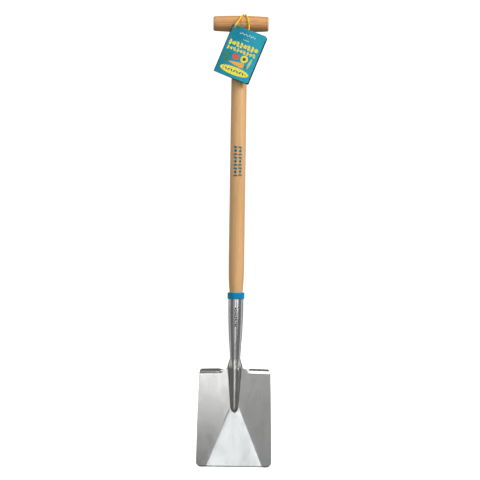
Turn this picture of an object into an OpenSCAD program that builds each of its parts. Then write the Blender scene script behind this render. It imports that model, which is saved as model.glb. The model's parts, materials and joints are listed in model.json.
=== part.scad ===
// Child's garden spade: one pressed steel head with an open-backed socket, a turned wooden
// shaft, a wooden T-grip and a folded swing tag on an elastic loop.
// +Z runs up the shaft, +X is to the right of someone facing the blade, and -Y is the side
// that faces them. The origin is the middle of the cutting edge.

/* [Overall] */
// Height from the cutting edge to the top of the grip
total_h = 720; // [600:1:864]
// Distance from the cutting edge back to the shaft's axis
axis_y = 12; // [10:0.5:15]

/* [Blade] */
// Height of the blade to the top of its treads
blade_h = 155.5; // [128:0.5:188]
// Blade width at the treads
tread_w = 113.3; // [94:0.1:136]
// Blade width just above the cutting edge
edge_w = 119.5; // [99:0.1:144]
// Thickness of the steel sheet
sheet_t = 1.5; // [1.2:0.1:2]
// Thickness of the ground cutting edge
edge_t = 0.7; // [0.5:0.1:1]
// Height of the ground bevel
bevel_h = 2.4; // [1.5:0.1:4]
// Radius of the two lower corners
corner_r = 8.5; // [6:0.5:11]
// Forward slope of each side panel, away from its crease
dish = 0.25; // [0.15:0.01:0.32]
// Distance from each side of the blade in to the foot of its crease
crease_in = 14.25; // [11.5:0.25:18]

/* [Treads] */
// Radius of the backward roll, to the middle of the sheet
tread_r = 7.5; // [6:0.1:9.5]
// Flat depth behind the roll
tread_flat = 6.5; // [5:0.1:8.5]
// Distance from the foot of the frog out to each tread's inner end
tread_gap = 6.5; // [5:0.1:9]
// Length over which a tread's roll fades out towards its inner end
tread_fade = 8; // [6:0.5:11]

/* [Frog and socket] */
// Length of the raised frog below the treads
frog_len = 70.5; // [58:0.5:85]
// Width of the frog near its tip
frog_tip_w = 14; // [11:0.5:17]
// Width of the frog at the treads
frog_top_w = 25; // [20:0.5:30]
// Length of the neck and socket above the treads
socket_len = 115.5; // [95:0.5:140]
// Outside diameter of the neck
neck_d = 16.8; // [14:0.1:20.2]
// Outside diameter of the socket's mouth
mouth_d = 24; // [20:0.1:28.8]
// Width of the open seam down the back
seam_w = 3.4; // [2.8:0.1:4.2]

/* [Collar] */
// Thickness of the collar's lip around the socket's mouth
collar_wall = 1.4; // [0.6:0.1:3]
// Height of the collar ring
collar_h = 10.5; // [8:0.5:14]
// Length of the collar that laps over the socket's mouth
collar_lap = 4; // [2:0.5:6]

/* [Shaft] */
// Diameter of the straight part of the shaft
shaft_d = 24.8; // [20.6:0.1:29.8]
// Diameter of the shaft where it meets the grip
shaft_top_d = 23.2; // [19.3:0.1:24]
// Length of the taper above the collar
low_taper = 60; // [40:1:80]
// Length of the taper below the grip
top_taper = 94; // [60:1:120]
// Distance from the neck up to the shaft's lower end
shaft_up = 21; // [17:1:40]
// Diameter of the tenon
tenon_d = 16; // [13:0.5:18]

/* [Grip] */
// Length of the grip
grip_w = 88; // [73:1:106]
// Diameter of the grip at its middle
grip_d = 26; // [24:0.1:31.2]
// Diameter of the grip at its ends
grip_end_d = 23; // [19:0.1:27.6]
// Distance that the grip sits off the shaft's axis
grip_shift = 1.8; // [0:0.1:3]

/* [Tag] */
// Width of each leaf
tag_w = 59; // [49:0.5:71]
// Height of each leaf
tag_h = 80.5; // [66:0.5:97]
// Thickness of each leaf
tag_t = 0.5; // [0.4:0.05:0.7]
// Lean of the tag's top edge
tag_lean = 21.8; // [18:0.1:27]
// Angle that the front leaf stands open
tag_open = 12; // [8:0.5:14]

/* [Hidden] */
$fn = 64;

// Levels
frog_tip_z = blade_h - frog_len;
neck_z = blade_h + 14.5;
socket_top = blade_h + socket_len;
mouth_z = socket_top - 9;           // the socket is straight above here
collar_z = socket_top - collar_lap;
collar_top = collar_z + collar_h;
grip_z = total_h - grip_d / 2;
grip_bottom = grip_z - grip_d / 2;
roll_z = blade_h - sheet_t / 2 - tread_r;

// Clearances
shaft_fit = 0.15;
ring_fit = 0.1;
grip_fit = 0.1;
tenon_fit = 0.1;
screw_fit = 0.2;
seat_fit = 0.02;

// Fasteners
screw_r = seam_w / 2 - screw_fit;   // it passes between the seam's edges
screw_len = 15;
screw_head_r = screw_r + 1.9;
screw_head_h = 2;
screw_z = socket_top - 15;
pin_r = 1.2;
pin_head_r = 2.2;
pin_head_h = 0.9;
pin_len = 20;

// Shape of the pressing
tread_in = frog_top_w / 2 + tread_gap;
lift = axis_y / frog_tip_z;         // forward slope of the floor
side_bow = 1.5;                     // above 1, the blade's sides bow outward
crease_foot = edge_w / 2 - crease_in;
crease_apex = frog_tip_z + 27;      // height where the two creases would meet
crease_cos = crease_apex / sqrt(crease_apex * crease_apex + crease_foot * crease_foot);
crease_soft = 2;                    // the crease is rounded over about this width
crease_step = crease_soft / crease_cos;
tip_bow = 7;                        // how far the frog's tip is bowed
tip_run = 6;                        // length over which the tip rises
tip_len = 9;                        // the frog keeps its tip's width over this length
crown_low = 5.2;                    // height of the frog's crown over the axis, at its tip
crown_start = 5;                    // from the tip up to where the crown starts to rise
crown_flat = 0.12;                  // share of the frog's half width that is level
wall_share = 0.85;                  // share of it that the wall takes up
tread_run = tread_r * PI / 2 + tread_flat;
tread_corner = tread_run + 0.3;     // radius of a tread's outer corner
shoulder_z = blade_h - 1;           // the frog turns into the round neck from here
flare_h = 3.5;                      // height of the curve from the shoulder into the neck
morph_len = 20;
neck_open = 100;                    // half angle of the open neck
wrap_z = blade_h + 10;              // the open neck starts to close here
seam_z = blade_h + 45;              // and has its full closure from here up
swell = 1.1;                        // above 1, the socket widens late
foot_swell = 3.3;                   // the same for the shaft's lower taper

function mix(a, b, t) = a + (b - a) * t;
function unit(t) = max(0, min(1, t));
function ease(t) = unit(t) * unit(t) * (3 - 2 * unit(t));
function last(list) = list[len(list) - 1];
function dir(v) = v / norm(v);

// ---- Profiles that pieces share ----

// Outside radius of the neck and socket at height z
function socket_r(z) =
    let (u = unit((z - neck_z) / (mouth_z - neck_z)))
    mix(neck_d, mouth_d, pow(sin(90 * u), swell)) / 2;

// Radius of the shaft inside the socket
function seat_r(z) = socket_r(z) - sheet_t - shaft_fit;

// Radius of the shaft above the collar, where it widens to its full size
function low_r(z) =
    let (u = unit((collar_top + low_taper - z) / low_taper))
    mix(shaft_d / 2, seat_r(socket_top), pow(u, foot_swell));

// Radius of the shaft where it narrows towards the grip
function high_r(z) =
    let (u = unit((z - grip_bottom + top_taper) / top_taper))
    mix(shaft_d, shaft_top_d, ease(u)) / 2;

// Radius of the grip at a distance x from its middle
function grip_r(x) = mix(grip_d, grip_end_d, pow(2 * x / grip_w, 2)) / 2;

// ---- Middle surface of the pressing ----

// Distance from the crease, positive on the side panel
function past_crease(x, z) = (x - crease_foot * (1 - z / crease_apex)) * crease_cos;

// The floor and side panels
function plate_y(x, z) =
    let (d = past_crease(x, z))
    lift * z - dish * (d + sqrt(d * d + crease_soft * crease_soft)) / 2;

// Half width and crown of the frog
function frog_half(z) =
    mix(frog_tip_w, frog_top_w, unit((z - frog_tip_z - tip_len) / (frog_len - tip_len))) / 2;
function crown_y(z) =
    let (u = unit((z - frog_tip_z - crown_start) / (frog_len - crown_start)))
    axis_y - mix(crown_low, (neck_d - sheet_t) / 2, u);

// The whole blade: plate, with the frog raised out of it
function blade_y(x, z) =
    let (s = x / frog_half(z))
    let (across = 1 - ease((s - crown_flat) / wall_share))
    let (along = ease((z - frog_tip_z - tip_bow * s * s) / tip_run))
    mix(plate_y(x, z), crown_y(z), across * along);

// Half width of the blade, with its rounded lower corners
function half_w(z) =
    let (h = max(0, corner_r - z))
    mix(edge_w, tread_w, pow(z / roll_z, side_bow)) / 2 - corner_r
    + sqrt(corner_r * corner_r - h * h);

// Columns of the grid follow the frog, the crease and the tread's inner end
FROG_COLS = 8;
FLOOR_COLS = 3;
TREAD_COL = FROG_COLS + FLOOR_COLS + 3;
SIDE_COLS = 7;
EDGE_COL = TREAD_COL + SIDE_COLS;
crowding = 1.6;                     // the side columns crowd towards the tread's inner end
function side_share(j) = pow((j - TREAD_COL) / SIDE_COLS, crowding);
function col_x(j, z) =
    let (w = frog_half(z))
    let (up = unit(z / roll_z))
    let (step = mix(crease_step, min(crease_step, tread_gap / 3), up))
    let (c = max(crease_foot * (1 - z / crease_apex), w + 1.9 * step))
    j <= FROG_COLS ? w * j / FROG_COLS :
    j < TREAD_COL - 3 ? mix(w, c - step, (j - FROG_COLS) / FLOOR_COLS) :
    j < TREAD_COL ? c + (j - TREAD_COL + 2) * step :
    mix(mix(c + 2 * step, tread_in, up), half_w(z), side_share(j));

function blade_point(j, z) =
    let (x = col_x(abs(j), z))
    [sign(j) * x, blade_y(x, z), z];

// The neck: the frog's section turns into the socket's round one
function neck_edge(z) =
    let (h = unit((shoulder_z + flare_h - z) / flare_h))
    mix(frog_top_w / 2, tread_in, 1 - sqrt(1 - h * h));
function wrap_angle(z) =
    let (shut = 180 - asin(seam_w / 2 / socket_r(z)))
    mix(neck_open, shut, ease((z - wrap_z) / (seam_z - wrap_z)));
function neck_point(j, z) =
    let (x = col_x(abs(j), shoulder_z) / tread_in * neck_edge(z))
    let (a = wrap_angle(z) * abs(j) / TREAD_COL)
    let (r = socket_r(z) - sheet_t / 2)
    let (bell = [sign(j) * x, blade_y(x, z), z])
    let (ring = [sign(j) * r * sin(a), axis_y - r * cos(a), z])
    mix(bell, ring, ease((z - shoulder_z) / morph_len));

// A tread: a quarter roll backward and then a flat, with a large outer corner. Towards its
// inner end it fades into the plain shoulder.
ROLL_STEPS = 6;
FLAT_STEPS = 2;
TREAD_STEPS = ROLL_STEPS + FLAT_STEPS;
function shoulder_row(k) = mix(roll_z, shoulder_z, k / TREAD_STEPS);
function tread_point(j, k) =
    let (a = 90 * min(1, k / ROLL_STEPS))
    let (flat = tread_flat * max(0, k - ROLL_STEPS) / FLAT_STEPS)
    let (run = tread_r * a * PI / 180 + flat)
    let (outer = half_w(roll_z) - tread_corner + sqrt(pow(tread_corner, 2) - run * run))
    let (x = mix(tread_in, outer, side_share(abs(j))))
    let (up = dir([0, plate_y(x, roll_z) - plate_y(x, roll_z - 1), 1]))
    let (back = [0, up[2], -up[1]])
    let (foot = [sign(j) * x, plate_y(x, roll_z), roll_z])
    let (rolled = foot + tread_r * sin(a) * up + (tread_r * (1 - cos(a)) + flat) * back)
    let (plain = [sign(j) * x, plate_y(x, shoulder_row(k)), shoulder_row(k)])
    mix(plain, rolled, ease((x - tread_in) / tread_fade));
function shoulder_point(j, k) =
    abs(j) <= TREAD_COL ? blade_point(j, shoulder_row(k)) : tread_point(j, k);

// Heights of the grid's rows
blade_rows = concat(
    [for (a = [0:15:90]) corner_r * (1 - cos(a))],
    [for (k = [1:8]) mix(corner_r, frog_tip_z - 2, k / 8)],
    [for (k = [1:8]) frog_tip_z - 2 + 2 * k],
    [for (k = [1:6]) mix(frog_tip_z + 14, roll_z, k / 6)]);
neck_rows = concat(
    [for (a = [0:30:90]) shoulder_z + flare_h * (1 - cos(a))],
    [for (k = [1:9]) mix(shoulder_z + flare_h, seam_z, k / 9)],
    [for (k = [1:6]) mix(seam_z, socket_top, k / 6)]);

// The blade and its treads are one grid, and the neck is a narrower one above its middle
wide_grid = concat(
    [for (z = blade_rows) [for (j = [-EDGE_COL:EDGE_COL]) blade_point(j, z)]],
    [for (k = [1:TREAD_STEPS]) [for (j = [-EDGE_COL:EDGE_COL]) shoulder_point(j, k)]]);
neck_grid = [for (z = neck_rows) [for (j = [-TREAD_COL:TREAD_COL]) neck_point(j, z)]];

// Unit normal of a grid at row i, column j, pointing forward
function grid_normal(g, i, j) =
    let (du = g[i][min(j + 1, len(g[i]) - 1)] - g[i][max(j - 1, 0)])
    let (dv = g[min(i + 1, len(g) - 1)][j] - g[max(i - 1, 0)][j])
    dir(cross(du, dv));

// Half thickness, thinned by the ground bevel
function half_t(z) = mix(edge_t, sheet_t, unit(z / bevel_h)) / 2;

// One face of the sheet: side is -1 for the front and 1 for the back
function skin(g, first, side) = [for (i = [first:len(g) - 1]) for (j = [0:len(g[i]) - 1])
    let (n = -grid_normal(g, i, j))
    let (flat = g[i][j][2] < 0.001 ? dir([n[0], n[1], 0]) : n)
    g[i][j] + side * half_t(g[i][j][2]) * flat];

function all_skin(side) = concat(skin(wide_grid, 0, side), skin(neck_grid, 1, side));

// Vertex numbers of each grid; the neck's first row is the middle of the wide grid's last one
WIDE = 2 * EDGE_COL + 1;
NARROW = 2 * TREAD_COL + 1;
function grid_ids(start, rows, cols) =
    [for (i = [0:rows - 1]) [for (j = [0:cols - 1]) start + i * cols + j]];
wide_ids = grid_ids(0, len(wide_grid), WIDE);
top_row = last(wide_ids);
neck_ids = concat([[for (j = [SIDE_COLS:WIDE - 1 - SIDE_COLS]) top_row[j]]],
    grid_ids(len(wide_grid) * WIDE, len(neck_rows) - 1, NARROW));

function column(ids, j) = [for (row = ids) row[j]];
function reversed(list) = [for (i = [len(list) - 1:-1:0]) list[i]];
function tail(list) = [for (i = [1:len(list) - 1]) list[i]];

// The sheet's outline, once round, seen from the front
outline = concat(
    wide_ids[0],
    tail(column(wide_ids, WIDE - 1)),
    [for (j = [WIDE - 2:-1:WIDE - 1 - SIDE_COLS]) top_row[j]],
    tail(column(neck_ids, NARROW - 1)),
    tail(reversed(last(neck_ids))),
    tail(reversed(column(neck_ids, 0))),
    [for (j = [SIDE_COLS - 1:-1:0]) top_row[j]],
    tail(reversed(column(wide_ids, 0))));

function grid_faces(ids, n) = [for (i = [0:len(ids) - 2]) for (j = [0:len(ids[i]) - 2])
    let (a = ids[i][j], b = ids[i][j + 1], c = ids[i + 1][j + 1], d = ids[i + 1][j])
    each [[a, d, c], [a, c, b], [a + n, b + n, c + n], [a + n, c + n, d + n]]];
function rim_faces(loop, n) = [for (i = [0:len(loop) - 2])
    let (a = loop[i], b = loop[i + 1])
    each [[a, b, b + n], [a, b + n, a + n]]];

module spade_head() {
    front = all_skin(-1);
    n = len(front);
    color("silver")
        polyhedron(concat(front, all_skin(1)),
            concat(grid_faces(wide_ids, n), grid_faces(neck_ids, n), rim_faces(outline, n)));
}

// ---- Collar, shaft, grip and fasteners ----

module on_axis() {
    translate([0, axis_y, 0]) children();
}

module collar_ring() {
    round_r = 1.2;
    bore = seat_r(socket_top) + ring_fit;
    lap_bore = mouth_d / 2 + ring_fit;
    r = lap_bore + collar_wall;
    outer = [for (a = [-90:18:0]) [r - round_r + round_r * cos(a), round_r + round_r * sin(a)]];
    upper = [for (a = [0:18:90])
        [r - round_r + round_r * cos(a), collar_h - round_r + round_r * sin(a)]];
    color("#0a88b8") on_axis() translate([0, 0, collar_z]) rotate_extrude()
        polygon(concat(
            [[bore, collar_h], [bore, collar_lap], [lap_bore, collar_lap], [lap_bore, 0]],
            [for (p = outer) [max(p[0], lap_bore), p[1]]], upper));
}

// Outline of the shaft from its lower end to the grip
shaft_end = neck_z + shaft_up;
shaft_chamfer = 2;
straight_z = collar_top + low_taper;
shaft_outline = concat(
    [[0, shaft_end], [seat_r(shaft_end) - shaft_chamfer, shaft_end]],
    [for (k = [0:10]) let (z = mix(shaft_end + shaft_chamfer, mouth_z, k / 10)) [seat_r(z), z]],
    [for (k = [0:8]) let (z = mix(collar_top, straight_z, k / 8)) [low_r(z), z]],
    [for (k = [0:8]) let (z = mix(grip_bottom - top_taper, grip_bottom, k / 8)) [high_r(z), z]],
    [[shaft_top_d / 2, grip_z], [0, grip_z]]);

// The grip's turned shape along X, grown by a clearance
module barrel(grow = 0) {
    chamfer = 1.6;
    face_r = grip_r(grip_w / 2) - 1.1 + grow;
    half = grip_w / 2;
    xs = [for (k = [0:16]) mix(chamfer - half, half - chamfer, k / 16)];
    rotate([0, 90, 0]) rotate_extrude()
        polygon(concat(
            [[0, -half], [face_r, -half]],
            [for (x = xs) [grip_r(x) + grow, x]],
            [[face_r, half], [0, half]]));
}

module on_grip() {
    translate([grip_shift, axis_y, grip_z]) children();
}

// Holes for the nail that locks the grip, driven in from behind, and for the socket's screw
pin_y = axis_y + grip_r(grip_shift);
module pin_hole() {
    translate([0, pin_y - pin_len, grip_z]) rotate([-90, 0, 0])
        cylinder(h = pin_len + 1, r = pin_r);
}
module screw_hole() {
    translate([0, axis_y + socket_r(screw_z) - screw_len, screw_z]) rotate([-90, 0, 0])
        cylinder(h = screw_len, r = screw_r);
}

tenon_top = total_h - 6;
tenon_foot = 6;                     // the tenon starts this far inside the shaft
module shaft() {
    color("burlywood") difference() {
        union() {
            difference() {
                on_axis() rotate_extrude() polygon(shaft_outline);
                on_grip() barrel(grip_fit);
            }
            on_axis() translate([0, 0, grip_bottom - tenon_foot])
                cylinder(h = tenon_top - grip_bottom + tenon_foot, d = tenon_d);
        }
        pin_hole();
        screw_hole();
    }
}

module t_grip() {
    groove_in = 3.4;
    groove = 0.35;
    color("peru") difference() {
        on_grip() barrel();
        on_axis() translate([0, 0, grip_bottom - 1])
            cylinder(h = tenon_top + tenon_fit - grip_bottom + 1, d = tenon_d + 2 * tenon_fit);
        for (side = [-1, 1]) on_grip() rotate([0, 90, 0])
            translate([0, 0, side * (grip_w / 2 - groove_in)])
                rotate_extrude() translate([grip_r(grip_w / 2 - groove_in), 0]) circle(r = groove);
        pin_hole();
        translate([0, pin_y - pin_head_h, grip_z]) rotate([-90, 0, 0])
            cylinder(h = pin_head_h + 1, r = pin_head_r);
    }
}

module grip_pin() {
    point_len = 2;
    crown = 0.25;
    color("silver") translate([0, pin_y, grip_z]) rotate([-90, 0, 0]) rotate_extrude()
        polygon([[0, -pin_len], [pin_r, point_len - pin_len], [pin_r, -pin_head_h],
            [pin_head_r, -pin_head_h], [pin_head_r, -crown], [pin_head_r - crown, 0], [0, 0]]);
}

module socket_screw() {
    seat = sqrt(pow(socket_r(screw_z), 2) - pow(seam_w / 2, 2)) + seat_fit;
    tip = socket_r(screw_z) - screw_len - seat;
    rim_h = 0.5;
    slot_w = 0.8;
    dome = [for (a = [0:15:90])
        [screw_head_r * cos(a), rim_h + (screw_head_h - rim_h) * sin(a)]];
    color("silver") translate([0, axis_y + seat, screw_z]) difference() {
        rotate([-90, 0, 0]) rotate_extrude() polygon(concat(
            [[0, tip], [screw_r, tip], [screw_r, 0], [screw_head_r, 0]], dome));
        for (a = [0, 90]) translate([0, screw_head_h, 0]) rotate([0, a, 0])
            cube([slot_w, screw_head_h, screw_head_r], center = true);
    }
}

// ---- Swing tag and its elastic loop ----

// Places from the middle of the grip
hole = [-9.4, -9.8];
hole_r = 2.4;
hole_in = 5;                        // from the fold to the hole
hole_down = 5.1;                    // from the top edge to the hole
tag_gap = 4;                        // between the grip and the tag
leaf_in = 0.05;                     // from the middle of the fold to each leaf's inside
fold_y = -(grip_d / 2 + tag_gap + tag_t + leaf_in);
fold_r = tag_t;
fold_fit = 0.3;                     // between the fold's bead and the front leaf

// Moves children from the tag's own axes (x along its top edge, z up its fold, origin at the
// top of the fold) to where it hangs
module on_tag() {
    on_grip() translate([hole[0], fold_y, hole[1]]) rotate([0, tag_lean, 0])
        translate([-hole_in, 0, hole_down]) children();
}

module leaf(inner) {
    r = 2.5;
    rotate([90, 0, 0]) linear_extrude(tag_t) difference() {
        union() {
            translate([inner, -tag_h]) square([tag_w - inner - r, tag_h]);
            translate([tag_w - 2 * r, r - tag_h]) square([2 * r, tag_h - 2 * r]);
            for (y = [-r, r - tag_h]) translate([tag_w - r, y]) circle(r = r);
        }
        translate([hole_in, -hole_down]) circle(r = hole_r);
    }
}

module tag_back() {
    color("#0a5e78") on_tag() {
        translate([0, tag_t + leaf_in, 0]) leaf(0);
        translate([0, leaf_in, -tag_h]) cylinder(h = tag_h, r = fold_r);
    }
}

module tag_front() {
    color("#1090b0") on_tag() rotate([0, 0, -tag_open]) translate([0, -leaf_in, 0])
        leaf(fold_r + fold_fit);
}

// The loop starts in the crimp behind the grip, runs down and under the left arm, across the
// front of the shaft, under the right arm, up the back, over the top, down behind the tag,
// through its hole, and up over the top again to the crimp
cord_d = 2.2;
cord_route = [
    [-6, 14.8, -2.6], [-7.7, 13.9, -6.6], [-10.4, 10.8, -10.4], [-13.3, 6, -13.3],
    [-15.1, 0.2, -15.2], [-13.8, -6.2, -16.6], [-9.2, -11.6, -17.4], [-1.8, -13.9, -17.6],
    [5.6, -11.6, -17.4], [10.6, -6, -16.6], [12.3, 0.6, -15.2], [12, 6.4, -12.9],
    [11, 11.2, -9.2], [9.8, 14.5, -0.8], [8.1, 11.8, 8.5], [6.9, 5.7, 13.4],
    [6.9, -0.6, 14.6], [8.2, -6.7, 13], [10.2, -11.8, 8.2], [11.6, -14.2, 2],
    [12.6, -14.3, -3.8], [13.1, -14.2, -9], [11.2, -14, -12.9], [6.8, -13.9, -14.7],
    [2, -13.8, -14.6], [-2.2, -13.5, -13.6], [-5.4, -13.2, -12.3], [-8.1, -13.9, -10.9],
    [-9.4, -16.4, -10], [-9.8, -19.9, -9.7], [-9.1, -23.9, -8], [-7.7, -25.2, -4.8],
    [-5.8, -23, -1.2], [-3.2, -17.9, 3.3], [-0.2, -11.8, 9.1], [2.5, -5.3, 13.8],
    [4.1, 1.2, 14.6], [3.3, 7.5, 12.7], [0.3, 12.4, 8.5], [-4, 14.8, 2.6]];

// A point midway between route points i and i + 1, on a smooth curve through them all
function halfway(p, i) =
    let (before = p[max(i - 1, 0)], after = p[min(i + 2, len(p) - 1)])
    (9 * (p[i] + p[i + 1]) - before - after) / 16;
function smooth(p) = concat(
    [for (i = [0:len(p) - 2]) each [p[i], halfway(p, i)]], [last(p)]);
function tangent(p, i) = dir(p[min(i + 1, len(p) - 1)] - p[max(i - 1, 0)]);

// The side direction of each ring, carried along the path without twisting
function carried(p, i, side) =
    let (t = tangent(p, i))
    let (s = dir(side - (side * t) * t))
    i == len(p) - 1 ? [s] : concat([s], carried(p, i + 1, s));

SIDES = 8;
module tube(p, r) {
    sides = carried(p, 0, [1, 0, 0]);
    points = [for (i = [0:len(p) - 1]) for (k = [0:SIDES - 1])
        let (s = sides[i], a = 360 * k / SIDES)
        p[i] + r * (s * cos(a) + cross(tangent(p, i), s) * sin(a))];
    walls = [for (i = [0:len(p) - 2]) for (k = [0:SIDES - 1])
        let (a = i * SIDES + k, b = i * SIDES + (k + 1) % SIDES)
        each [[a, a + SIDES, b + SIDES], [a, b + SIDES, b]]];
    start = [for (k = [0:SIDES - 1]) k];
    finish = [for (k = [SIDES - 1:-1:0]) (len(p) - 1) * SIDES + k];
    polyhedron(points, concat(walls, [start, finish]));
}

module tag_cord() {
    color("gold") on_grip() tube(smooth(cord_route), cord_d / 2);
}

crimp_x = -5;
crimp_r = 1.9;
crimp_len = 7;
crimp_lean = 20;
crimp_gap = 0.2;                    // between the crimp and the grip
module cord_crimp() {
    chamfer = 0.3;
    color("silver") on_grip() translate([crimp_x, grip_d / 2 + crimp_r + crimp_gap, 0])
        rotate([0, crimp_lean, 0]) rotate_extrude()
            polygon([[0, -crimp_len / 2], [crimp_r - chamfer, -crimp_len / 2],
                [crimp_r, chamfer - crimp_len / 2], [crimp_r, crimp_len / 2 - chamfer],
                [crimp_r - chamfer, crimp_len / 2], [0, crimp_len / 2]]);
}

spade_head();
collar_ring();
shaft();
t_grip();
grip_pin();
socket_screw();
tag_back();
tag_front();
tag_cord();
cord_crimp();
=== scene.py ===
"""Child's garden spade with a steel head, a wooden shaft and T-grip, and a swing tag."""

import json
import math

import bmesh
import bpy
from mathutils import Matrix, Vector


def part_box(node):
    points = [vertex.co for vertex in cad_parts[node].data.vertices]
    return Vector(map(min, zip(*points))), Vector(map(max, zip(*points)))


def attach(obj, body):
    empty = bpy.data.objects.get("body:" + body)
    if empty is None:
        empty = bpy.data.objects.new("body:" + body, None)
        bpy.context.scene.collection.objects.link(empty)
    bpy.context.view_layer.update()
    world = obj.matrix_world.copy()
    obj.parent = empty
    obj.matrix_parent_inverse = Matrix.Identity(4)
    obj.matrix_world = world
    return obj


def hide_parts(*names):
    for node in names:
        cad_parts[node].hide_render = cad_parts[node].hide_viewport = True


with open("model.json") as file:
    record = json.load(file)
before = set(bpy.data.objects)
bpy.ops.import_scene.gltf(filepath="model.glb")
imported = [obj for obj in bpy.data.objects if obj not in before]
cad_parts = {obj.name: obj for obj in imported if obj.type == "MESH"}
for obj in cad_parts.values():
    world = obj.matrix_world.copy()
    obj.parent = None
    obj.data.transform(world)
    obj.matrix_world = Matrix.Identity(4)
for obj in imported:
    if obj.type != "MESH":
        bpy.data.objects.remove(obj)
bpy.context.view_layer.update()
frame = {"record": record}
MM = 0.001
RECORD = frame["record"]

# ---------------------------------------------------------------- the frame


def middle(node):
    low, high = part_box(node)
    return [(a + b) / 2 for a, b in zip(low, high)]


GRIP = Vector(middle("t_grip"))  # the middle of the grip
AXIS_Y = middle("collar_ring")[1]  # the shaft's axis stands this far back
JOINTS = {j["name"]: j for j in RECORD["behaviour"]["joints"]}
FOLD = Vector(JOINTS["tag_open"]["pos_m"])  # the top of the tag's fold
TAG_LEAN = math.asin(-JOINTS["tag_open"]["axis"][0])
TAG_OPEN = math.radians(12)
TAG_T = 0.5 * MM
LEAF_IN = 0.05 * MM


def link(obj):
    bpy.context.scene.collection.objects.link(obj)
    return obj


def mesh_piece(name, verts, faces, body, material, smooth=True):
    """A piece from points in metres and faces, riding on a body."""
    mesh = bpy.data.meshes.new(name)
    mesh.from_pydata([tuple(v) for v in verts], [], faces)
    mesh.validate()
    for polygon in mesh.polygons:
        polygon.use_smooth = smooth
    obj = link(bpy.data.objects.new(name, mesh))
    if material:
        mesh.materials.append(material)
    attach(obj, body)
    return obj


def sharpen(obj, degrees):
    """Keeps an object's edges sharper than an angle as crisp edges."""
    obj.data.set_sharp_from_angle(angle=math.radians(degrees))


# ------------------------------------------------------------------- camera

CAMERA_AWAY = 2.05
CAMERA_UP = 0.3614
CAMERA_SIDE = 0.0052
CAMERA_ROLL = math.radians(0.83)
FRAME_HEIGHT = 0.768  # how much of the spade's plane the picture takes in
SENSOR = 36


def add_camera():
    data = bpy.data.cameras.new("camera")
    data.sensor_width = SENSOR
    data.lens = SENSOR * CAMERA_AWAY / FRAME_HEIGHT
    data.clip_start = 0.05
    data.dof.use_dof = False
    camera = link(bpy.data.objects.new("camera", data))
    turn = Matrix.Rotation(math.radians(90), 4, "X") @ Matrix.Rotation(CAMERA_ROLL, 4, "Z")
    place = Matrix.Translation((CAMERA_SIDE, AXIS_Y - CAMERA_AWAY, CAMERA_UP))
    camera.matrix_world = place @ turn
    bpy.context.scene.camera = camera


add_camera()

# ---------------------------------------------------------- the elastic loop

CORD_D = 2.2 * MM
CORD_ROUTE_MM = [  # from the middle of the grip
    (-6, 14.8, -2.6), (-7.7, 13.9, -6.6), (-10.4, 10.8, -10.4), (-13.3, 6, -13.3),
    (-15.1, 0.2, -15.2), (-13.8, -6.2, -16.6), (-9.2, -11.6, -17.4), (-1.8, -13.9, -17.6),
    (5.6, -11.6, -17.4), (10.6, -6, -16.6), (12.3, 0.6, -15.2), (12, 6.4, -12.9),
    (11, 11.2, -9.2), (9.8, 14.5, -0.8), (8.1, 11.8, 8.5), (6.9, 5.7, 13.4),
    (6.9, -0.6, 14.6), (8.2, -6.7, 13), (10.2, -11.8, 8.2), (11.6, -14.2, 2),
    (12.6, -14.3, -3.8), (13.1, -14.2, -9), (11.2, -14, -12.9), (6.8, -13.9, -14.7),
    (2, -13.8, -14.6), (-2.2, -13.5, -13.6), (-5.4, -13.2, -12.3), (-8.1, -13.9, -10.9),
    (-9.4, -16.4, -10), (-9.8, -19.9, -9.7), (-9.1, -23.9, -8), (-7.7, -25.2, -4.8),
    (-5.8, -23, -1.2), (-3.2, -17.9, 3.3), (-0.2, -11.8, 9.1), (2.5, -5.3, 13.8),
    (4.1, 1.2, 14.6), (3.3, 7.5, 12.7), (0.3, 12.4, 8.5), (-4, 14.8, 2.6),
]


def smooth_path(points, steps):
    """A Catmull-Rom curve through the points, with some steps between each two."""
    out = []
    for i in range(len(points) - 1):
        p0, p1 = points[max(i - 1, 0)], points[i]
        p2, p3 = points[i + 1], points[min(i + 2, len(points) - 1)]
        for k in range(steps):
            t = k / steps
            out.append(
                0.5
                * (
                    2 * p1
                    + (p2 - p0) * t
                    + (2 * p0 - 5 * p1 + 4 * p2 - p3) * t * t
                    + (3 * p1 - p0 - 3 * p2 + p3) * t * t * t
                )
            )
    return [*out, points[-1]]


def frames_along(path):
    """The path's tangents, with two side directions carried along without twisting."""
    side = Vector((1, 0, 0))
    out = []
    for i, p in enumerate(path):
        t = (path[min(i + 1, len(path) - 1)] - path[max(i - 1, 0)]).normalized()
        side = (side - side.dot(t) * t).normalized()
        out.append((p, side.copy(), t.cross(side)))
    return out


def tube(name, path, radius, sides, body, material):
    """A closed tube. radius is a function of the distance along it and the angle round it."""
    verts, faces = [], []
    run = 0.0
    for i, (p, a, b) in enumerate(frames_along(path)):
        run += (p - path[i - 1]).length if i else 0
        for k in range(sides):
            angle = 2 * math.pi * k / sides
            r = radius(run, angle)
            verts.append(p + r * (a * math.cos(angle) + b * math.sin(angle)))
    for i in range(len(path) - 1):
        for k in range(sides):
            n = (k + 1) % sides
            faces.append((i * sides + k, i * sides + n, (i + 1) * sides + n, (i + 1) * sides + k))
    faces.append(tuple(reversed(range(sides))))
    faces.append(tuple(range((len(path) - 1) * sides, len(path) * sides)))
    return mesh_piece(name, verts, faces, body, material)


# ---------------------------------------------------------------- materials


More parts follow.
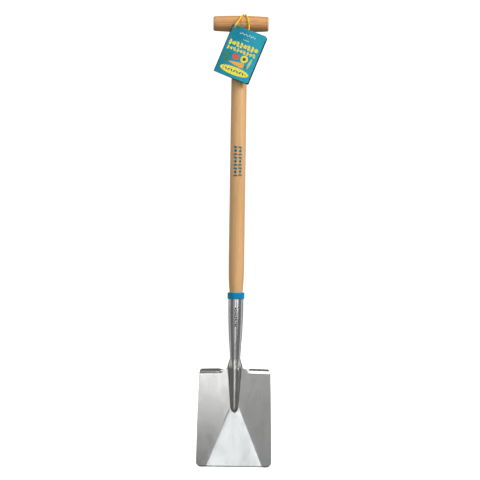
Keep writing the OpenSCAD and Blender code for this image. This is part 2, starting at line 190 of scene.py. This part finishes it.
class Nodes:
    """A material's nodes, with short calls to add and join them."""

    def __init__(self, name):
        self.material = bpy.data.materials.new(name)
        self.material.use_nodes = True
        self.tree = self.material.node_tree
        self.shader = self.tree.nodes["Principled BSDF"]

    def add(self, kind, **inputs):
        node = self.tree.nodes.new("ShaderNode" + kind)
        for key, value in inputs.items():
            self.set(node, key.replace("_", " "), value)
        return node

    def set(self, node, key, value):
        socket = node.inputs[int(key)] if key.isdigit() else node.inputs[key]
        if isinstance(value, bpy.types.NodeSocket):
            self.tree.links.new(value, socket)
        else:
            socket.default_value = value

    def base(self, **inputs):
        for key, value in inputs.items():
            self.set(self.shader, key.replace("_", " "), value)

    def place(self, scale, turn=(0, 0, 0)):
        """The object's own coordinates, stretched. One unit is a metre over scale."""
        where = self.add("TexCoord").outputs["Object"]
        mapping = self.add("Mapping", Vector=where, Scale=scale, Rotation=turn)
        return mapping.outputs["Vector"]

    def noise(self, where, scale=1.0, detail=3.0, rough=0.5, bend=0.0):
        node = self.add(
            "TexNoise", Vector=where, Scale=scale, Detail=detail, Roughness=rough, Distortion=bend
        )
        return node.outputs["Fac"]

    def ramp(self, value, stops):
        """Maps a value to colours. stops are (place, colour)."""
        node = self.add("ValToRGB", Fac=value)
        ramp = node.color_ramp
        while len(ramp.elements) < len(stops):
            ramp.elements.new(0.5)
        for element, (at, colour) in zip(ramp.elements, stops):
            element.position = at
            element.color = (*colour, 1)
        return node.outputs["Color"]

    def level(self, value, low, high, to_low, to_high):
        """Maps a value from one range to another, held at its ends."""
        node = self.add("MapRange", Value=value)
        for key, number in zip(("From Min", "From Max", "To Min", "To Max"), (low, high, to_low, to_high)):
            node.inputs[key].default_value = number
        return node.outputs["Result"]

    def math(self, kind, a, b=0.0):
        node = self.tree.nodes.new("ShaderNodeMath")
        node.operation = kind
        self.set(node, "0", a)
        self.set(node, "1", b)
        return node.outputs[0]

    def mix(self, share, a, b, kind="MIX"):
        node = self.tree.nodes.new("ShaderNodeMix")
        node.data_type = "RGBA"
        node.blend_type = kind
        for i, value in ((0, share), (6, a), (7, b)):
            if isinstance(value, bpy.types.NodeSocket):
                self.tree.links.new(value, node.inputs[i])
            else:
                node.inputs[i].default_value = value if i == 0 else (*value, 1)
        return node.outputs[2]

    def bump(self, height, strength, distance, under=None):
        node = self.add("Bump", Strength=strength, Distance=distance, Height=height)
        if under:
            self.set(node, "Normal", under)
        return node.outputs["Normal"]


def steel():
    """Satin stainless sheet: long fine brush lines and faint clouding from the press."""
    n = Nodes("satin_steel")
    lines = n.noise(n.place((1500, 1500, 16)), detail=3, rough=0.6)
    cloud = n.noise(n.place((30, 30, 17)), detail=4, rough=0.5, bend=0.4)
    scuff = n.noise(n.place((260, 260, 110)), detail=4, rough=0.65)
    tone = n.ramp(cloud, [(0.3, (0.5, 0.498, 0.485)), (0.7, (0.63, 0.628, 0.615))])
    tone = n.mix(0.14, tone, n.ramp(lines, [(0.3, (0.45, 0.45, 0.445)), (0.7, (0.7, 0.7, 0.69))]))
    rough = n.math("ADD", n.level(lines, 0.3, 0.7, 0.2, 0.25), n.level(scuff, 0.4, 0.7, 0, 0.03))
    fine = n.bump(lines, 0.05, 0.00002)
    n.base(
        Base_Color=tone, Metallic=1.0, Roughness=rough, Anisotropic=0.3,
        Normal=n.bump(cloud, 0.05, 0.0005, fine),
    )
    return n.material


def bright_metal():
    """Small zinc-plated parts."""
    n = Nodes("zinc_plate")
    grain = n.noise(n.place((3000, 3000, 3000)), detail=3)
    n.base(
        Base_Color=n.ramp(grain, [(0.3, (0.55, 0.56, 0.57)), (0.7, (0.74, 0.74, 0.73))]),
        Metallic=1.0, Roughness=n.level(grain, 0.3, 0.7, 0.2, 0.36),
        Normal=n.bump(grain, 0.2, 0.00005),
    )
    return n.material


def wood(name, along, light, mid, dark, pore, contrast):
    """Straight-grained turned wood. along is the axis that the grain follows."""
    n = Nodes(name)

    def stretched(across, length):
        return n.place([length if i == "XYZ".index(along) else across for i in range(3)])

    figure = n.noise(stretched(95, 3.2), detail=4, rough=0.55, bend=0.25)
    bands = n.noise(stretched(340, 5.5), detail=4, rough=0.6, bend=0.15)
    fibre = n.noise(stretched(2300, 34), detail=3, rough=0.65)
    pores = n.noise(stretched(1500, 62), detail=2, rough=0.5)
    tone = n.ramp(figure, [(0.28, mid), (0.5, light), (0.72, mid)])
    tone = n.mix(n.level(bands, 0.42, 0.72, 0, contrast), tone, dark)
    tone = n.mix(n.level(fibre, 0.35, 0.75, 0, 0.3 * contrast), tone, dark)
    tone = n.mix(n.level(pores, 0.62, 0.7, 0, 0.55 * contrast), tone, pore)
    rough = n.level(fibre, 0.3, 0.7, 0.4, 0.52)
    height = n.math("SUBTRACT", n.math("MULTIPLY", fibre, 0.4), n.level(pores, 0.6, 0.7, 0, 1))
    n.base(
        Base_Color=tone, Roughness=rough, Coat_Weight=0.12, Coat_Roughness=0.3,
        Specular_IOR_Level=0.3, Normal=n.bump(height, 0.25, 0.00012),
    )
    return n.material


def collar_plastic():
    """Smooth blue moulded plastic with a trace of texture."""
    n = Nodes("blue_plastic")
    cloud = n.noise(n.place((160, 160, 160)), detail=3)
    grain = n.noise(n.place((1600, 1600, 1600)), detail=3)
    n.base(
        Base_Color=n.ramp(cloud, [(0.3, (0.0, 0.205, 0.4)), (0.7, (0.0, 0.25, 0.48))]),
        Roughness=n.level(grain, 0.3, 0.7, 0.3, 0.42), Specular_IOR_Level=0.2,
        Normal=n.bump(grain, 0.12, 0.00004),
    )
    return n.material


def card(name, dark, light, rough, inner_shade=None):
    """Printed card: a painted highlight that lightens the colour across the leaf away from the fold, a
    random wash of tone, paper fibre, and a thin sheen.

    The last argument is a near-black colour painted as shade on the back leaf's inner face, and the height
    along Y that this painted shade reaches.
    """
    n = Nodes(name)
    wash = n.noise(n.place((55, 55, 38), (0, 0.4, 0)), detail=5, rough=0.62, bend=0.4)
    speck = n.noise(n.place((900, 900, 900)), detail=4, rough=0.7)
    fibre = n.noise(n.place((2600, 2600, 1100)), detail=3, rough=0.6)
    # Painted highlight: sweep lightens the colour steadily from 12 mm to 52 mm out from the fold, standing
    # in for the sheen that the lights throw across the leaf.
    across = n.add("SeparateXYZ", Vector=n.place((1, 1, 1), (0, -TAG_LEAN, 0)))
    near = (Matrix.Rotation(-TAG_LEAN, 3, "Y") @ FOLD).x
    sweep = n.level(across.outputs["X"], near + 12 * MM, near + 52 * MM, 0, 0.55)
    tone = n.math("ADD", sweep, n.level(wash, 0.3, 0.7, 0, 0.5))
    colour = n.ramp(tone, [(0.05, dark), (0.95, light)])
    colour = n.mix(n.level(speck, 0.4, 0.7, 0, 0.15), colour, light)
    # Painted shade: faces nearer the front than that height are coloured near-black, standing in for the
    # shadow in the opened tag.
    if inner_shade:
        behind = n.add("SeparateXYZ", Vector=n.place((1, 1, 1)))
        edge = n.level(behind.outputs["Y"], inner_shade[1] - 0.05 * MM, inner_shade[1] + 0.05 * MM, 1, 0)
        colour = n.mix(edge, colour, inner_shade[0])
    n.base(
        Base_Color=colour, Roughness=n.level(fibre, 0.3, 0.7, rough, rough + 0.12),
        Specular_IOR_Level=0.12, Normal=n.bump(fibre, 0.15, 0.00004),
    )
    return n.material


def ink(name, colour, spread=0.16, rough=0.42):
    """Printed ink, slightly uneven."""
    n = Nodes(name)
    patch = n.noise(n.place((700, 700, 700)), detail=4, rough=0.6)
    low = tuple(c * (1 - spread) for c in colour)
    high = tuple(min(1, c * (1 + spread)) for c in colour)
    n.base(
        Base_Color=n.ramp(patch, [(0.3, low), (0.7, high)]),
        Roughness=n.level(patch, 0.3, 0.7, rough - 0.05, rough + 0.08),
        Normal=n.bump(patch, 0.1, 0.00002),
    )
    return n.material


def braid():
    """Yellow textile-covered elastic."""
    n = Nodes("yellow_elastic")
    fuzz = n.noise(n.place((2600, 2600, 2600)), detail=4, rough=0.7)
    n.base(
        Base_Color=n.ramp(fuzz, [(0.3, (0.66, 0.48, 0.0)), (0.68, (0.98, 0.76, 0.004))]),
        Roughness=n.level(fuzz, 0.3, 0.7, 0.6, 0.78), Sheen_Weight=0.1,
        Normal=n.bump(fuzz, 0.35, 0.00006),
    )
    return n.material


STEEL = steel()
ZINC = bright_metal()
SHAFT_WOOD = wood("pale_ash", "Z", (0.76, 0.465, 0.215), (0.68, 0.385, 0.16),
                  (0.42, 0.2, 0.068), (0.22, 0.09, 0.025), 0.5)
GRIP_WOOD = wood("red_ash", "X", (0.7, 0.385, 0.165), (0.58, 0.285, 0.105),
                 (0.38, 0.155, 0.045), (0.16, 0.05, 0.015), 0.7)
BLUE = collar_plastic()
# Both leaves' colours carry the painted highlight that lightens away from the fold.
CARD_FRONT = card("teal_card", (0.0, 0.2, 0.29), (0.028, 0.38, 0.5), 0.42)
# The back leaf's near-black colour below is painted shade on its inner face, standing in for the shadow in
# the opened tag.
CARD_BACK = card("teal_card_back", (0.003, 0.2, 0.33), (0.02, 0.3, 0.45), 0.4,
                 ((0.002, 0.022, 0.04), FOLD.y + 0.4 * MM))
YELLOW_BRAID = braid()

# ------------------------------------------------------------ elastic loop

ROUTE = [GRIP + Vector(p) * MM for p in CORD_ROUTE_MM]
STRANDS = 8
CORD_SIDES = 16
BRAID_PITCH = 3.4 * MM
BRAID_DEPTH = 0.05 * MM


def braid_radius(run, angle):
    turn = 2 * math.pi * run / BRAID_PITCH
    over = math.sin(STRANDS / 2 * angle + turn) * math.sin(STRANDS / 2 * angle - turn)
    return CORD_D / 2 - BRAID_DEPTH * (1 - over) / 2


def add_cord():
    cord = tube("elastic_loop", smooth_path(ROUTE, 26), braid_radius, CORD_SIDES, "spade", YELLOW_BRAID)
    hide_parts("tag_cord")


add_cord()

# --------------------------------------------------------- the pressed head

BLADE_H = 155.5
TREAD_W = 113.3
EDGE_W = 119.5
SHEET_T = 1.5
EDGE_T = 0.7
BEVEL_H = 2.4
CORNER_R = 8.5
DISH = 0.25
CREASE_IN = 14.25
TREAD_R = 7.5
TREAD_FLAT = 6.5
TREAD_GAP = 6.5
TREAD_FADE = 8.0
FROG_LEN = 70.5
FROG_TIP_W = 14.0
FROG_TOP_W = 25.0
SOCKET_LEN = 115.5
NECK_D = 16.8
MOUTH_D = 24.0
SEAM_W = 3.4
SHAFT_D = 24.8

AXIS = AXIS_Y / MM
FROG_TIP_Z = BLADE_H - FROG_LEN
NECK_Z = BLADE_H + 14.5
SOCKET_TOP = BLADE_H + SOCKET_LEN
MOUTH_Z = SOCKET_TOP - 9
ROLL_Z = BLADE_H - SHEET_T / 2 - TREAD_R
LIFT = AXIS / FROG_TIP_Z
CREASE_FOOT = EDGE_W / 2 - CREASE_IN
CREASE_APEX = FROG_TIP_Z + 27
CREASE_COS = CREASE_APEX / math.hypot(CREASE_APEX, CREASE_FOOT)
CREASE_SOFT = 2.0
CREASE_STEP = CREASE_SOFT / CREASE_COS
TIP_BOW = 7.0
TIP_RUN = 6.0
TIP_LEN = 9.0
CROWN_LOW = 5.2
CROWN_START = 5.0
CROWN_FLAT = 0.12
WALL_SHARE = 0.85
TREAD_IN = FROG_TOP_W / 2 + TREAD_GAP
TREAD_RUN = TREAD_R * math.pi / 2 + TREAD_FLAT
TREAD_CORNER = TREAD_RUN + 0.3
SHOULDER_Z = BLADE_H - 1
FLARE_H = 3.5
SWELL = 1.1
SIDE_BOW = 1.5
MORPH_LEN = 20.0
NECK_OPEN = 100.0
WRAP_Z = BLADE_H + 10
SEAM_Z = BLADE_H + 45


def mix(a, b, t):
    return a + (b - a) * t


def unit(t):
    return max(0.0, min(1.0, t))


def ease(t):
    t = unit(t)
    return t * t * (3 - 2 * t)


def socket_r(z):
    u = unit((z - NECK_Z) / (MOUTH_Z - NECK_Z))
    return mix(NECK_D, MOUTH_D, math.sin(math.pi / 2 * u) ** SWELL) / 2


def crease_x(z):
    return CREASE_FOOT * (1 - z / CREASE_APEX)


def plate_y(x, z):
    d = (x - crease_x(z)) * CREASE_COS
    return LIFT * z - DISH * (d + math.hypot(d, CREASE_SOFT)) / 2


def frog_half(z):
    return mix(FROG_TIP_W, FROG_TOP_W, unit((z - FROG_TIP_Z - TIP_LEN) / (FROG_LEN - TIP_LEN))) / 2


def crown_y(z):
    share = unit((z - FROG_TIP_Z - CROWN_START) / (FROG_LEN - CROWN_START))
    return AXIS - mix(CROWN_LOW, (NECK_D - SHEET_T) / 2, share)


def blade_y(x, z):
    s = x / frog_half(z)
    across = 1 - ease((s - CROWN_FLAT) / WALL_SHARE)
    along = ease((z - FROG_TIP_Z - TIP_BOW * s * s) / TIP_RUN)
    return mix(plate_y(x, z), crown_y(z), across * along)


def half_w(z):
    h = max(0.0, CORNER_R - z)
    return mix(EDGE_W, TREAD_W, (z / ROLL_Z) ** SIDE_BOW) / 2 - CORNER_R + math.sqrt(CORNER_R**2 - h * h)


FROG_COLS, FLOOR_COLS, CREASE_COLS, SIDE_COLS = 22, 6, 6, 28
TREAD_COL = FROG_COLS + FLOOR_COLS + CREASE_COLS + 2
EDGE_COL = TREAD_COL + SIDE_COLS
CROWDING = 1.3


def side_share(j):
    """The side columns crowd towards the tread's inner end."""
    return ((j - TREAD_COL) / SIDE_COLS) ** CROWDING


def col_x(j, z):
    """Where column j of the grid stands at height z."""
    w = frog_half(z)
    up = unit(z / ROLL_Z)
    step = mix(CREASE_STEP, min(CREASE_STEP, TREAD_GAP / 3), up)
    c = max(crease_x(z), w + 1.9 * step)
    t = mix(c + 2 * step, TREAD_IN, up)
    if j <= FROG_COLS:
        return w * j / FROG_COLS
    if j >= TREAD_COL:
        return mix(t, half_w(z), side_share(j))
    j -= FROG_COLS
    if j < FLOOR_COLS:
        return mix(w, c - step, j / FLOOR_COLS)
    j -= FLOOR_COLS
    if j <= CREASE_COLS:
        return c + step * (2 * j / CREASE_COLS - 1)
    return mix(c + step, t, (j - CREASE_COLS) / 2)


def side_of(j):
    return (j > 0) - (j < 0)


def blade_point(j, z):
    x = col_x(abs(j), z)
    return Vector((side_of(j) * x, blade_y(x, z), z))


def neck_edge(z):
    h = unit((SHOULDER_Z + FLARE_H - z) / FLARE_H)
    return mix(FROG_TOP_W / 2, TREAD_IN, 1 - math.sqrt(1 - h * h))


def wrap_angle(z):
    shut = 180 - math.degrees(math.asin(SEAM_W / 2 / socket_r(z)))
    return mix(NECK_OPEN, shut, ease((z - WRAP_Z) / (SEAM_Z - WRAP_Z)))


def neck_point(j, z):
    x = col_x(abs(j), SHOULDER_Z) / TREAD_IN * neck_edge(z)
    a = math.radians(wrap_angle(z) * abs(j) / TREAD_COL)
    r = socket_r(z) - SHEET_T / 2
    bell = Vector((side_of(j) * x, blade_y(x, z), z))
    ring = Vector((side_of(j) * r * math.sin(a), AXIS - r * math.cos(a), z))
    return bell.lerp(ring, ease((z - SHOULDER_Z) / MORPH_LEN))


ROLL_STEPS, FLAT_STEPS = 18, 5
TREAD_STEPS = ROLL_STEPS + FLAT_STEPS


def shoulder_point(j, k):
    """The rows above the blade: the plain shoulder, fading into a tread on each side."""
    z = mix(ROLL_Z, SHOULDER_Z, k / TREAD_STEPS)
    if abs(j) <= TREAD_COL:
        return blade_point(j, z)
    a = math.pi / 2 * min(1, k / ROLL_STEPS)
    flat = TREAD_FLAT * max(0, k - ROLL_STEPS) / FLAT_STEPS
    run = TREAD_R * a + flat
    outer = half_w(ROLL_Z) - TREAD_CORNER + math.sqrt(max(0, TREAD_CORNER**2 - run * run))
    x = mix(TREAD_IN, outer, side_share(abs(j)))
    up = Vector((0, plate_y(x, ROLL_Z) - plate_y(x, ROLL_Z - 1), 1)).normalized()
    back = Vector((0, up.z, -up.y))
    foot = Vector((side_of(j) * x, plate_y(x, ROLL_Z), ROLL_Z))
    rolled = foot + TREAD_R * math.sin(a) * up + (TREAD_R * (1 - math.cos(a)) + flat) * back
    plain = Vector((side_of(j) * x, plate_y(x, z), z))
    return plain.lerp(rolled, ease((x - TREAD_IN) / TREAD_FADE))


def steps(a, b, n):
    return [mix(a, b, k / n) for k in range(1, n + 1)]


BLADE_ROWS = [
    *[CORNER_R * (1 - math.cos(math.radians(90 * k / 12))) for k in range(13)],
    *steps(CORNER_R, FROG_TIP_Z - 2, 30),
    *steps(FROG_TIP_Z - 2, FROG_TIP_Z + 18, 32),
    *steps(FROG_TIP_Z + 18, ROLL_Z, 20),
]
NECK_ROWS = [
    *[SHOULDER_Z + FLARE_H * (1 - math.cos(math.radians(90 * k / 12))) for k in range(13)],
    *steps(SHOULDER_Z + FLARE_H, SEAM_Z, 30),
    *steps(SEAM_Z, SOCKET_TOP, 24),
]


class Sheet:
    """Joins grids of middle-surface points into one closed sheet of a given thickness."""

    def __init__(self):
        self.points, self.normals, self.quads = [], [], []

    def grid(self, rows, first=None):
        """Adds a grid. first is the ids of a row that it shares with an earlier grid."""
        ids = []
        for i, row in enumerate(rows):
            if i == 0 and first:
                ids.append(list(first))
                continue
            line = []
            for j in range(len(row)):
                du = row[min(j + 1, len(row) - 1)] - row[max(j - 1, 0)]
                dv = rows[min(i + 1, len(rows) - 1)][j] - rows[max(i - 1, 0)][j]
                line.append(len(self.points))
                self.points.append(row[j])
                self.normals.append(du.cross(dv).normalized())
            ids.append(line)
        for low, high in zip(ids, ids[1:]):
            for j in range(len(low) - 1):
                self.quads.append((low[j], low[j + 1], high[j + 1], high[j]))
        return ids

    def solid(self, outline):
        """Points and faces of the closed sheet, in metres."""
        count = len(self.points)
        front, back = [], []
        for p, n in zip(self.points, self.normals):
            half = mix(EDGE_T, SHEET_T, unit(p.z / BEVEL_H)) / 2
            if p.z < 0.001:
                n = Vector((n.x, n.y, 0)).normalized()
            front.append((p + half * n) * MM)
            back.append((p - half * n) * MM)
        faces = [*self.quads, *[tuple(count + i for i in reversed(q)) for q in self.quads]]
        for a, b in zip(outline, outline[1:]):
            faces.append((b, a, a + count, b + count))
        return front + back, faces


def add_head():
    sheet = Sheet()
    full = range(-EDGE_COL, EDGE_COL + 1)
    blade = [[blade_point(j, z) for j in full] for z in BLADE_ROWS]
    treads = [[shoulder_point(j, k) for j in full] for k in range(1, TREAD_STEPS + 1)]
    wide = sheet.grid(blade + treads)
    top = wide[-1]
    narrow = range(-TREAD_COL, TREAD_COL + 1)
    neck = sheet.grid([[neck_point(j, z) for j in narrow] for z in NECK_ROWS],
                      top[SIDE_COLS:len(top) - SIDE_COLS])
    outline = list(wide[0])
    for run in (
        [row[-1] for row in wide], top[len(top) - SIDE_COLS - 1:][::-1],
        [row[-1] for row in neck], neck[-1][::-1], [row[0] for row in neck][::-1],
        top[:SIDE_COLS + 1][::-1], [row[0] for row in wide][::-1],
    ):
        outline += run[1:]
    verts, faces = sheet.solid(outline)
    head = mesh_piece("pressed_head", verts, faces, "spade", STEEL)
    bm = bmesh.new()
    bm.from_mesh(head.data)
    bmesh.ops.recalc_face_normals(bm, faces=bm.faces)
    bm.to_mesh(head.data)
    bm.free()
    sharpen(head, 40)
    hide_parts("spade_head")


add_head()

# ------------------------------------------------------- carried-over nodes


def dress(node, material):
    """Gives a CAD node its finished material."""
    mesh = bpy.data.objects[node].data
    if not mesh.materials:
        mesh.materials.append(material)
    for i in range(len(mesh.materials)):
        mesh.materials[i] = material


for node, material in (
    ("collar_ring", BLUE), ("shaft", SHAFT_WOOD), ("t_grip", GRIP_WOOD), ("grip_pin", ZINC),
    ("socket_screw", ZINC), ("cord_crimp", ZINC), ("tag_back", CARD_BACK),
    ("tag_front", CARD_FRONT),
):
    dress(node, material)

# ---------------------------------------------------- printed and etched work

INK_LIFT = 0.02 * MM  # each layer of print stands this far off the card
MARK_LIFT = 0.03 * MM  # and the print and etching this far off the shaft and socket


def motif(cx, cy, outline, turn=0.0):
    """A closed outline in millimetres about its own middle, moved and turned in degrees."""
    c, d = math.cos(math.radians(turn)), math.sin(math.radians(turn))
    return (cx, cy), [(cx + x * c - y * d, cy + x * d + y * c) for x, y in outline]


def ellipse(cx, cy, wide, tall, turn=0.0, count=28):
    ring = [2 * math.pi * k / count for k in range(count)]
    return motif(cx, cy, [(wide / 2 * math.cos(a), tall / 2 * math.sin(a)) for a in ring], turn)


def leaf_shape(cx, cy, long, wide, turn=0.0, count=10):
    """A pointed leaf."""
    xs = [math.cos(math.pi * k / count) for k in range(count + 1)]
    top = [(long / 2 * x, wide / 2 * (1 - x * x) ** 0.8) for x in xs]
    return motif(cx, cy, top + [(x, -y) for x, y in top[-2:0:-1]], turn)


def bar(ax, ay, bx, by, wide):
    """A straight stem between two points."""
    long = math.hypot(bx - ax, by - ay)
    turn = math.degrees(math.atan2(by - ay, bx - ax))
    box = [(-long / 2, -wide / 2), (long / 2, -wide / 2), (long / 2, wide / 2), (-long / 2, wide / 2)]
    return motif((ax + bx) / 2, (ay + by) / 2, box, turn)


def flower(cx, cy, radius, petals, turn=0.0):
    """A round flower with scalloped petals."""
    out = []
    for k in range(petals * 8):
        a = 2 * math.pi * k / (petals * 8)
        r = radius * (0.76 + 0.24 * abs(math.sin(petals * a / 2)) ** 0.7)
        out.append((r * math.cos(a), r * math.sin(a)))
    return motif(cx, cy, out, turn)


def printed(name, motifs, surface, body, material, lift):
    """One piece of print: flat motifs laid on a surface. surface maps (x, y, lift) to a place."""
    verts, faces = [], []
    for (cx, cy), outline in motifs:
        first = len(verts)
        verts.append(surface(cx, cy, lift))
        count = len(outline)
        for share in (0.5, 1.0):
            verts += [surface(mix(cx, x, share), mix(cy, y, share), lift) for x, y in outline]
        for k in range(count):
            n = (k + 1) % count
            faces.append((first, first + 1 + k, first + 1 + n))
            a, b = first + 1 + count, first + 1
            faces.append((b + k, a + k, a + n, b + n))
    return mesh_piece(name, verts, faces, body, material)


def garland(x0, x1, y, tall, count):
    """A row of leaves, buds and berries along a stem, for print in one colour."""
    pitch = (x1 - x0) / count
    out = [bar(x0, y, x1, y, tall * 0.07)]
    for k in range(count):
        x = x0 + (k + 0.5) * pitch
        kind = k % 3
        if kind == 0:
            out.append(leaf_shape(x, y - tall * 0.22, tall * 0.62, tall * 0.36, 62))
            out.append(leaf_shape(x, y + tall * 0.22, tall * 0.62, tall * 0.36, -62))
        elif kind == 1:
            out.append(flower(x, y, tall * 0.34, 5, 20 * k))
        else:
            out.append(leaf_shape(x, y, tall * 0.98, tall * 0.4, 90))
            out.append(ellipse(x - pitch * 0.42, y - tall * 0.3, tall * 0.2, tall * 0.2, count=12))
            out.append(ellipse(x + pitch * 0.42, y + tall * 0.3, tall * 0.2, tall * 0.2, count=12))
    return out


TAG_FRAME = (
    Matrix.Translation(FOLD) @ Matrix.Rotation(TAG_LEAN, 4, "Y") @ Matrix.Rotation(-TAG_OPEN, 4, "Z")
)


def on_leaf(u, v, lift):
    """u runs from the fold, v runs down from the top edge, in millimetres."""
    return TAG_FRAME @ Vector((u * MM, -LEAF_IN - TAG_T - lift, -v * MM))


def add_tag_print():
    yellow = ink("yellow_ink", (0.92, 0.76, 0.01))
    white = ink("white_ink", (0.8, 0.85, 0.85), 0.1)
    green = ink("green_ink", (0.01, 0.17, 0.05))
    lime = ink("lime_ink", (0.4, 0.55, 0.26))
    red = ink("red_ink", (0.72, 0.06, 0.015))
    orange = ink("orange_ink", (0.92, 0.4, 0.01))
    brown = ink("brown_ink", (0.12, 0.055, 0.02))

    def lay(name, motifs, material, depth=1):
        printed(name, motifs, on_leaf, "tag_cover", material, depth * INK_LIFT)

    vine = [bar(16, 9, 44, 9, 0.35)]
    for k in range(9):
        vine.append(leaf_shape(17.5 + 3.1 * k, 8.3 if k % 2 else 9.7, 2.6, 1.0, 40 if k % 2 else -40))
    lay("print_vine", vine, white)
    lay("print_buds", [ellipse(26 + 2 * k, 17.6, 1.1, 1.5, count=12) for k in range(5)], white)
    lay("print_garland_upper", garland(4, 55, 27.4, 9.4, 8), yellow)
    lay("print_garland_lower", garland(4, 54.5, 36.4, 6.8, 9), yellow)

    plant = [bar(10.8, 41.5, 10.8, 60, 0.7)]
    for k, (v, long) in enumerate(((44.5, 5), (49, 6), (53.5, 6.4), (57, 5.4))):
        plant.append(leaf_shape(8.1, v, long, 3.4, 32))
        plant.append(leaf_shape(13.5, v, long, 3.4, -32))
    lay("print_plant", plant, green)
    lay("print_fruit", [ellipse(24.2, 46.8, 10.8, 10.4)], red)
    crown = [leaf_shape(24.2 + 1.5 * math.cos(a), 42.4 + 0.7 * math.sin(a), 3.4, 1.1, math.degrees(a))
             for a in (0.1, 1.2, 2.0, 3.0)]
    lay("print_fruit_crown", crown, green, 2)
    lay("print_flower", [flower(38.8, 46.4, 6.4, 12)], yellow)
    lay("print_flower_eye", [ellipse(38.8, 46.4, 5.6, 5.6)], brown, 2)
    root = [(-13.5, 0.2), (-6, -1.9), (2, -3.1), (9, -3.9), (12.2, -3.4), (13.4, -1.6), (13.6, 0.4),
            (13.2, 2.3), (11.6, 3.7), (8, 3.8), (1, 2.9), (-7, 1.4)]
    lay("print_root", [motif(29, 57.2, root)], orange)
    lay("print_root_rings", [bar(x, 55.4 + 0.1 * x, x + 0.3, 57.6, 0.4) for x in (24, 30, 36)], brown, 2)
    lay("print_root_top", [leaf_shape(45.2, 56.2, 5.4, 1.8, -24), leaf_shape(45.4, 58, 5.4, 1.7, 14)], green)
    lay("print_slim_leaf", [leaf_shape(49.6, 50.6, 19, 4.2, 98)], lime)
    lay("print_badge", [ellipse(31, 69, 49, 12.6, count=64)], yellow)
    badge = [ellipse(31 + 19 * k, 69, 2, 2, count=14) for k in (-1, 1)]
    badge += [leaf_shape(31 + 4.8 * k, 69, 5.4, 2.6, 50 if k % 2 else -50) for k in range(-3, 4)]
    lay("print_badge_marks", badge, ink("deep_teal_ink", (0.004, 0.14, 0.2)), 2)


def around(radius):
    """Maps print onto the front of the shaft or socket: x round it, y up it."""

    def place(x, y, lift):
        r = radius(y) * MM + lift
        a = x * MM / r
        return Vector((r * math.sin(a), AXIS_Y - r * math.cos(a), y * MM))

    return place


def upright(motifs):
    """Turns a row along x so that it runs up y instead."""
    return [((-cy, cx), [(-y, x) for x, y in outline]) for (cx, cy), outline in motifs]


def add_handle_print():
    teal = ink("teal_ink", (0.01, 0.13, 0.15), 0.3, 0.5)
    straight = around(lambda z: SHAFT_D / 2)
    rows = upright(garland(461, 512, 4, 7.4, 9)) + upright(garland(462, 511, -3.8, 7, 9))
    printed("shaft_print", rows, straight, "spade", teal, MARK_LIFT)
    etch = ink("etched_mark", (0.03, 0.03, 0.028), 0.3, 0.55)
    sprig = upright(garland(222, 254, 0.3, 4.2, 11))
    printed("socket_etch", sprig, around(socket_r), "spade", etch, MARK_LIFT)


add_tag_print()
add_handle_print()

# -------------------------------------------------------------------- stage


def add_stage():
    """A plain pale floor that turns up into a round wall. It doesn't fill the steel and the wood."""
    floor_r, turn_r, high, count = 3.4, 1.2, 4.0, 64
    profile = [(0.001, 0.0)]
    for k in range(13):
        a = math.pi / 2 * k / 12
        profile.append((floor_r + turn_r * math.sin(a), turn_r * (1 - math.cos(a))))
    profile.append((floor_r + turn_r, high))
    verts = []
    for r, z in profile:
        for k in range(count):
            a = 2 * math.pi * k / count
            verts.append((r * math.cos(a), r * math.sin(a), z))
    faces = []
    for i in range(len(profile) - 1):
        for k in range(count):
            n = (k + 1) % count
            faces.append((i * count + k, i * count + n, (i + 1) * count + n, (i + 1) * count + k))
    mesh = bpy.data.meshes.new("sweep")
    mesh.from_pydata(verts, [], faces)
    for polygon in mesh.polygons:
        polygon.use_smooth = True
    sweep = link(bpy.data.objects.new("sweep", mesh))
    n = Nodes("pale_paper")
    n.base(Base_Color=(0.9, 0.9, 0.9, 1), Roughness=0.9, Specular_IOR_Level=0.1)
    n.base(Emission_Color=(1, 1, 1, 1), Emission_Strength=0.78)
    mesh.materials.append(n.material)
    sweep.visible_glossy = False
    sweep.visible_diffuse = False
    sweep.visible_shadow = False


def softbox(name, azimuth, elevation, away, size, radiance, colour=(1, 1, 1)):
    """A lamp seen from the blade at an azimuth (right of straight ahead) and an elevation."""
    data = bpy.data.lights.new(name, "AREA")
    data.shape = "RECTANGLE"
    data.size, data.size_y = size
    data.energy = radiance * math.pi * size[0] * size[1]
    data.color = colour
    lamp = link(bpy.data.objects.new(name, data))
    a, e = math.radians(azimuth), math.radians(elevation)
    heading = Vector((math.sin(a) * math.cos(e), -math.cos(a) * math.cos(e), math.sin(e)))
    lamp.location = Vector((0, 0, 0.12)) + away * heading
    lamp.rotation_euler = (-heading).to_track_quat("-Z", "Y").to_euler()


def add_light():
    world = bpy.data.worlds.new("studio")
    bpy.context.scene.world = world
    world.use_nodes = True
    world.node_tree.nodes["Background"].inputs["Color"].default_value = (0.98, 0.99, 1, 1)
    world.node_tree.nodes["Background"].inputs["Strength"].default_value = 0.2
    softbox("front_strip", -3.5, 6, 3.2, (0.62, 2.0), 2.3, (0.93, 0.97, 1))
    softbox("right_low", 27, 2.5, 2.6, (0.9, 0.36), 2.9)
    softbox("left_low", -27, 0, 2.6, (0.9, 0.5), 0.5)
    softbox("left_tall", -29, 42, 2.8, (0.8, 2.6), 4.2)
    softbox("side_left", -108, 4, 2.4, (1.3, 1.6), 0.6)
    softbox("side_right", 108, 4, 2.4, (1.3, 1.6), 0.7)
    softbox("back_box", 180, 12, 2.4, (1.6, 1.8), 0.9)
    softbox("key", 58, 38, 2.6, (1.1, 1.1), 14, (1, 0.985, 0.955))
    bpy.context.scene.view_settings.view_transform = "Standard"


add_stage()
add_light()
